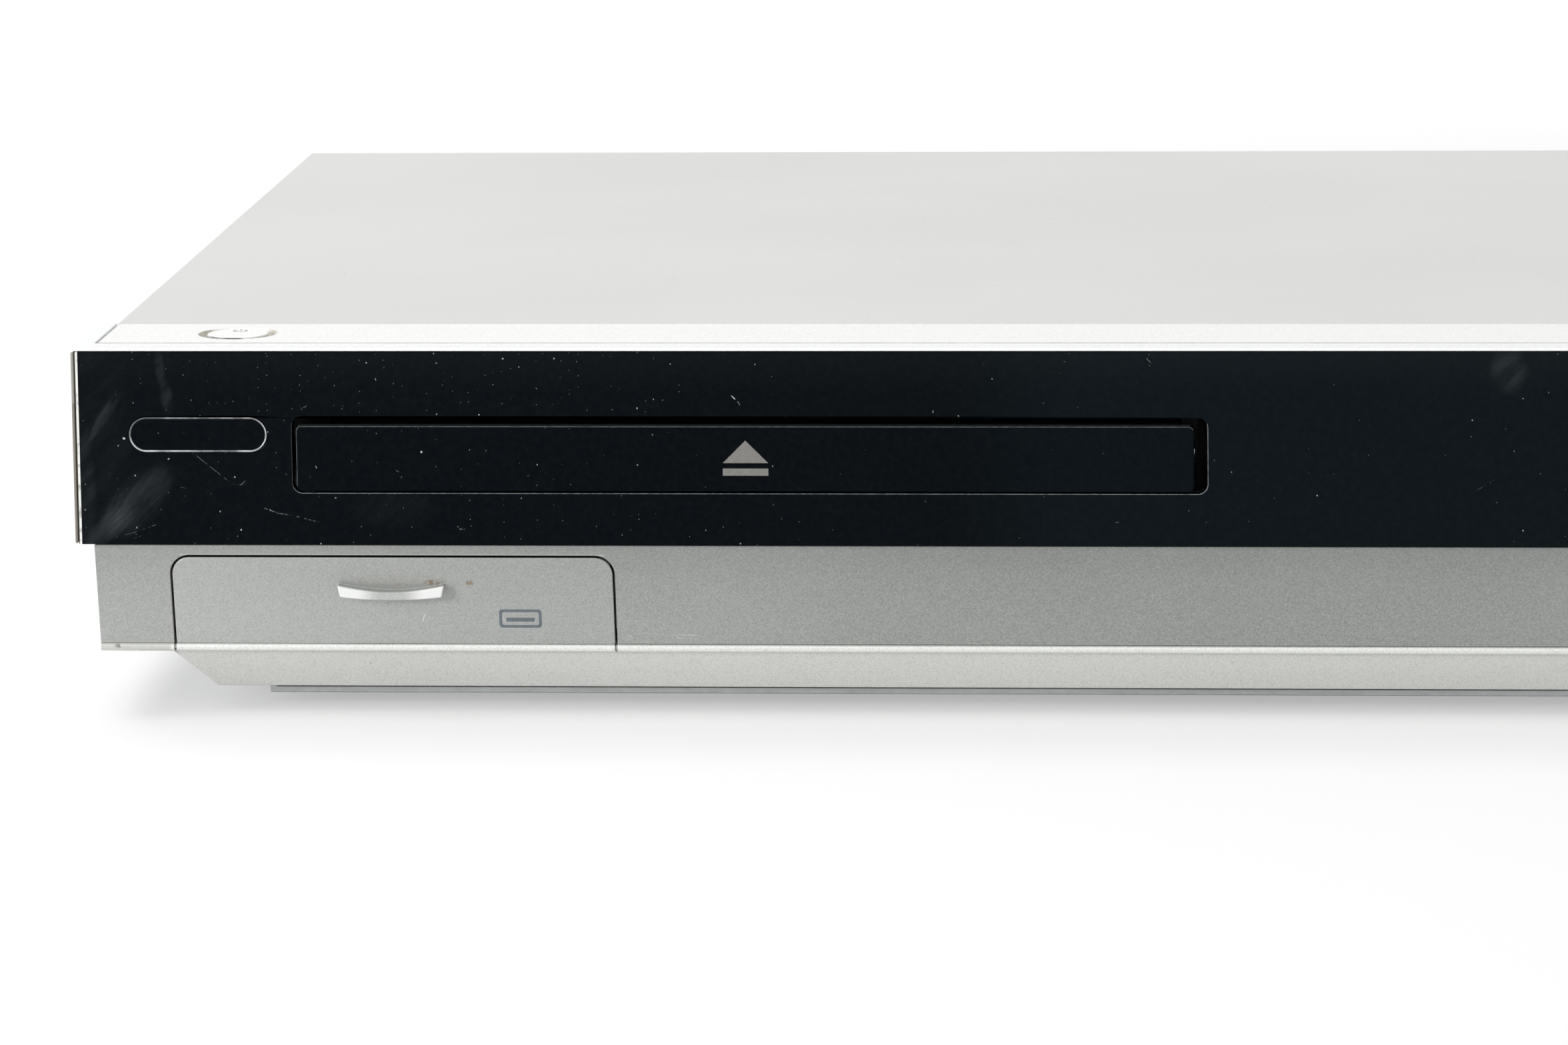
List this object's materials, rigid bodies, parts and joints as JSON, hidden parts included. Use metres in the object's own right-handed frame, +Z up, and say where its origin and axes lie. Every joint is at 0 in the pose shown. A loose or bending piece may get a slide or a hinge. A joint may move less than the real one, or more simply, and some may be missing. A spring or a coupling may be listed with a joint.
{
  "type": "disc player",
  "caption": "Slim component disc player with a sliding disc tray, dark front window, silver skirt with a hinged socket door, top buttons and rear jacks.",
  "frame": {"origin": "centre of the bounding box on the table, under the feet", "axes": "+X to the right as seen from the front, the front faces -Y, +Z up"},
  "size_m": [0.43, 0.25, 0.0585],
  "materials": {
    "silver_plastic": "metallic silver lacquer with fine flake, satin",
    "window_acrylic": "gloss black smoked acrylic",
    "tray_door_gloss": "gloss black, lightly dusted",
    "badge_chrome": "plain chromed blank",
    "deck_plastic": "pale silver lacquer, satin",
    "cover_steel": "silver textured paint",
    "chassis_steel": "zinc-plated sheet",
    "rubber": "matte",
    "screw_steel": "zinc-plated",
    "pcb_green": "solder-masked laminate",
    "pcb_paper": "phenolic paper laminate",
    "black_plastic": "moulded, fine grain",
    "natural_plastic": "natural acetal",
    "white_plastic": "moulded",
    "button_plastic": "pale silver lacquer",
    "plated": "nickel plating",
    "display_glass": "dark glass",
    "heatsink_alu": "anodised",
    "capacitor_sleeve": "shrink sleeve",
    "ferrite": "ferrite core and taped winding",
    "belt_rubber": "matte",
    "cable_white": "flat cable",
    "lens_blue": "coated lens in its holder",
    "brass_gear": "turned",
    "die_cast": "die-cast"
  },
  "bodies": {
    "root": {"bottom_chassis": "chassis_steel", "rear_panel": "chassis_steel", "top_cover": "cover_steel", "fascia": "silver_plastic", "front_window": "window_acrylic", "badge_plate": "badge_chrome", "top_deck": "deck_plastic", "feet": "rubber", "cover_screws": "screw_steel", "front_board": "pcb_green", "display_module": "display_glass", "ir_receiver": "black_plastic", "switch_boards": "pcb_green", "tact_switches": "black_plastic", "usb_board": "pcb_green", "usb_socket": "plated", "main_board": "pcb_green", "decoder_chip": "black_plastic", "decoder_heatsink": "heatsink_alu", "power_board": "pcb_paper", "transformer": "ferrite", "capacitors": "capacitor_sleeve", "power_heatsink": "heatsink_alu", "mains_inlet": "black_plastic", "audio_jacks": "black_plastic", "video_jacks": "black_plastic", "hdmi_socket": "plated", "optical_socket": "black_plastic", "ribbon_cables": "cable_white", "power_harness": "cable_white", "standoffs": "plated", "board_screws": "screw_steel", "loader_frame": "black_plastic", "loader_screws": "screw_steel", "loading_motor": "screw_steel", "drive_belt": "belt_rubber", "clamp_bridge": "chassis_steel"},
    "tray": {"tray": "black_plastic", "tray_door": "tray_door_gloss"},
    "drive_gear": {"drive_gear": "natural_plastic"},
    "pulley_gear": {"pulley_gear": "white_plastic"},
    "motor_pulley": {"motor_pulley": "brass_gear"},
    "deck": {"deck_plate": "chassis_steel", "spindle_motor": "chassis_steel", "guide_rods": "plated", "feed_motor": "screw_steel"},
    "turntable": {"turntable": "black_plastic"},
    "clamper": {"clamper": "white_plastic"},
    "sled": {"pickup_sled": "die_cast"},
    "lens": {"lens_holder": "lens_blue"},
    "feed_gear": {"feed_gear": "natural_plastic"},
    "feed_pinion": {"feed_pinion": "brass_gear"},
    "cam_slider": {"cam_slider": "natural_plastic"},
    "power_button": {"power_button": "button_plastic"},
    "open_button": {"open_button": "button_plastic"},
    "play_button": {"play_button": "button_plastic"},
    "stop_button": {"stop_button": "button_plastic"},
    "usb_door": {"usb_door": "silver_plastic"}
  },
  "joints": [
    {"name": "tray_slide", "type": "slide", "parent": "root", "child": "tray", "axis": [0, -1, 0], "range_m": [0, 0.13]},
    {"name": "drive_gear_spin", "type": "hinge", "parent": "root", "child": "drive_gear", "pos_m": [-0.07068, -0.1, 0.037], "axis": [0, 0, -1], "range_deg": [0, 518]},
    {"name": "pulley_gear_spin", "type": "hinge", "parent": "root", "child": "pulley_gear", "pos_m": [-0.09148, -0.1, 0.035], "axis": [0, 0, 1], "range_deg": [0, 1165]},
    {"name": "motor_spin", "type": "hinge", "parent": "root", "child": "motor_pulley", "pos_m": [-0.15928, -0.0903, 0.032], "axis": [0, 0, 1], "range_deg": [0, 4657]},
    {"name": "deck_lift", "type": "hinge", "parent": "root", "child": "deck", "pos_m": [-0.11128, 0.0389, 0.024], "axis": [-1, 0, 0], "range_deg": [0, 4.6]},
    {"name": "cam_slide", "type": "slide", "parent": "root", "child": "cam_slider", "axis": [1, 0, 0], "range_m": [0, 0.0201]},
    {"name": "spindle_spin", "type": "hinge", "parent": "deck", "child": "turntable", "pos_m": [-0.11128, -0.0484, 0.03303], "axis": [0, -0.0802, 0.9968], "continuous": true},
    {"name": "clamper_spin", "type": "hinge", "parent": "root", "child": "clamper", "pos_m": [-0.11128, -0.0474, 0.047], "axis": [0, 0, 1], "continuous": true},
    {"name": "sled_slide", "type": "slide", "parent": "deck", "child": "sled", "axis": [0, 0.9968, 0.0802], "range_m": [0, 0.0335]},
    {"name": "lens_focus", "type": "slide", "parent": "sled", "child": "lens", "axis": [0, -0.0802, 0.9968], "range_m": [-0.0004, 0.0004], "stiffness_N_per_m": 60},
    {"name": "feed_gear_spin", "type": "hinge", "parent": "deck", "child": "feed_gear", "pos_m": [-0.14928, 0.00507, 0.0293], "axis": [0, -0.0802, 0.9968], "range_deg": [0, 241]},
    {"name": "feed_pinion_spin", "type": "hinge", "parent": "deck", "child": "feed_pinion", "pos_m": [-0.14928, -0.0069, 0.02834], "axis": [0, 0.0802, -0.9968], "range_deg": [0, 481]},
    {"name": "power_press", "type": "slide", "parent": "root", "child": "power_button", "axis": [0, 0, -1], "range_m": [0, 0.0005], "stiffness_N_per_m": 300, "springref_m": -0.0003},
    {"name": "open_press", "type": "slide", "parent": "root", "child": "open_button", "axis": [0, 0, -1], "range_m": [0, 0.0005], "stiffness_N_per_m": 300, "springref_m": -0.0003},
    {"name": "play_press", "type": "slide", "parent": "root", "child": "play_button", "axis": [0, 0, -1], "range_m": [0, 0.0005], "stiffness_N_per_m": 300, "springref_m": -0.0003},
    {"name": "stop_press", "type": "slide", "parent": "root", "child": "stop_button", "axis": [0, 0, -1], "range_m": [0, 0.0005], "stiffness_N_per_m": 300, "springref_m": -0.0003},
    {"name": "usb_door_hinge", "type": "hinge", "parent": "root", "child": "usb_door", "pos_m": [-0.16605, -0.12033, 0.01118], "axis": [1, 0, 0], "range_deg": [0, 90]}
  ],
  "couplings": [
    {"joint": "drive_gear_spin", "follows": "tray_slide", "rad_per_m": 69.444},
    {"joint": "pulley_gear_spin", "follows": "tray_slide", "rad_per_m": 156.25},
    {"joint": "motor_spin", "follows": "tray_slide", "rad_per_m": 625},
    {"joint": "cam_slide", "follows": "deck_lift", "m_per_rad": 0.24911},
    {"joint": "clamper_spin", "follows": "spindle_spin", "ratio": 1},
    {"joint": "feed_gear_spin", "follows": "sled_slide", "rad_per_m": 125},
    {"joint": "feed_pinion_spin", "follows": "sled_slide", "rad_per_m": 250}
  ]
}
